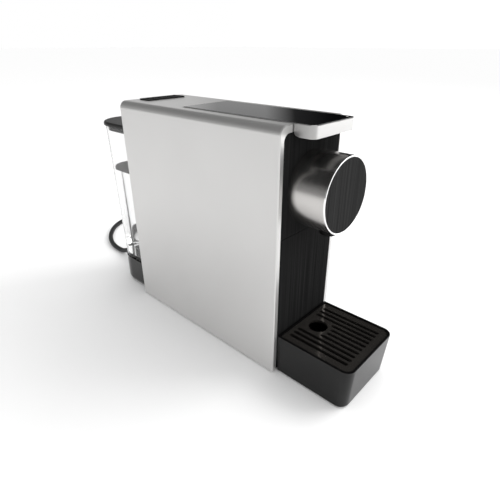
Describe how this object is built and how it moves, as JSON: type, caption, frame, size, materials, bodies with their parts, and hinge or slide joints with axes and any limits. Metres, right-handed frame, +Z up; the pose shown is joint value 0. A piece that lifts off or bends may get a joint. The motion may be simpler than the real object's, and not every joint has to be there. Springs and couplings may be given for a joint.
{
  "type": "pod coffee machine",
  "caption": "Slim pod coffee machine: silver wraparound shell, lift-up lever with glossy top, round nose with spout, drip tray drawer, rear water tank and mains lead.",
  "frame": {"origin": "centre of the machine's box on the table, leaving out the mains lead", "axes": "-Y is the front with the nose and drip tray, +Y the water tank, +Z up, +X the machine's own left-to-right as seen from the front"},
  "size_m": [0.1958, 0.5333, 0.2412],
  "materials": {
    "silver": "satin silver",
    "brushed": "turned, fine rings",
    "chrome": "polished chamfer",
    "panel": "dark, vertical brush lines",
    "black": "fine grained",
    "tray": "satin",
    "grille": "glossy",
    "gloss": "mirror gloss",
    "lamp": "diffusing",
    "smoke": "satin",
    "frame_plastic": "moulded",
    "clear": "clear moulded plastic",
    "hose": "silicone",
    "white": "moulded",
    "steel": "bright",
    "cast": "die cast",
    "rubber": "matt",
    "circuit": "solder resist"
  },
  "bodies": {
    "housing": {"outer_shell": "silver", "nose_barrel": "brushed", "nose_bezel": "chrome", "front_panel": "panel", "nose_face": "panel", "base_plate": "black", "rear_panel": "black", "vent_grille": "black", "brew_head": "black", "coffee_spout": "black", "capsule_deck": "black", "stand_cover": "black", "tank_socket": "black", "power_plug": "black", "tank_stand": "smoke", "brew_frame": "frame_plastic", "suction_hose": "hose", "pump_hose": "hose", "water_pump": "white", "thermostat": "white", "flow_meter": "white", "pressure_hose": "white", "brew_hose": "white", "lever_hinge_pin": "steel", "cover_screw_1": "steel", "cover_screw_2": "steel", "cover_screw_3": "steel", "cover_screw_4": "steel", "thermoblock": "cast", "foot_1": "rubber", "foot_2": "rubber", "foot_3": "rubber", "foot_4": "rubber", "tank_seal": "rubber", "pump_mount_front": "rubber", "pump_mount_rear": "rubber", "strain_relief": "rubber", "power_cord": "rubber", "cord_coil": "rubber", "control_board": "circuit"},
    "lever": {"lever_frame": "silver", "lever_glass": "gloss", "lever_liner": "black", "indicator_lens": "lamp", "touch_board": "circuit", "lever_cam_left": "steel", "lever_cam_right": "steel"},
    "piston": {"brew_piston": "frame_plastic", "piston_seal": "rubber", "piston_cross_pin": "steel"},
    "drawer": {"capsule_bin": "black", "drawer_front": "panel"},
    "tray": {"drip_tray": "tray"},
    "grille": {"drip_grille": "grille"},
    "tank": {"water_tank": "clear", "tank_valve_body": "black", "tank_valve_cap": "black", "tank_valve_spring": "steel"},
    "lid": {"tank_lid": "smoke"},
    "valve": {"tank_valve_plunger": "white"}
  },
  "joints": [
    {"name": "lever_hinge", "type": "hinge", "parent": "housing", "child": "lever", "pos_m": [0, 0.0164, 0.2318], "axis": [-1, 0, 0], "range_deg": [0, 75]},
    {"name": "piston_slide", "type": "slide", "parent": "housing", "child": "piston", "axis": [0, 1, 0], "range_m": [0, 0.03], "deforming": ["brew_hose"]},
    {"name": "drawer_slide", "type": "slide", "parent": "housing", "child": "drawer", "axis": [0, -1, 0], "range_m": [0, 0.105]},
    {"name": "tray_slide", "type": "slide", "parent": "drawer", "child": "tray", "axis": [0, -1, 0], "range_m": [0, 0.06]},
    {"name": "grille_lift", "type": "slide", "parent": "tray", "child": "grille", "axis": [0, 0, 1], "range_m": [0, 0.05]},
    {"name": "tank_lift", "type": "slide", "parent": "housing", "child": "tank", "axis": [0, 0, 1], "range_m": [0, 0.08]},
    {"name": "lid_lift", "type": "slide", "parent": "tank", "child": "lid", "axis": [0, 0, 1], "range_m": [0, 0.05]},
    {"name": "valve_slide", "type": "slide", "parent": "tank", "child": "valve", "axis": [0, 0, -1], "range_m": [0, 0.0022], "deforming": ["tank_valve_spring"]}
  ],
  "couplings": [
    {"joint": "piston_slide", "follows": "lever_hinge", "m_per_rad": 0.022918},
    {"joint": "valve_slide", "follows": "tank_lift", "ratio": 0.0275}
  ]
}
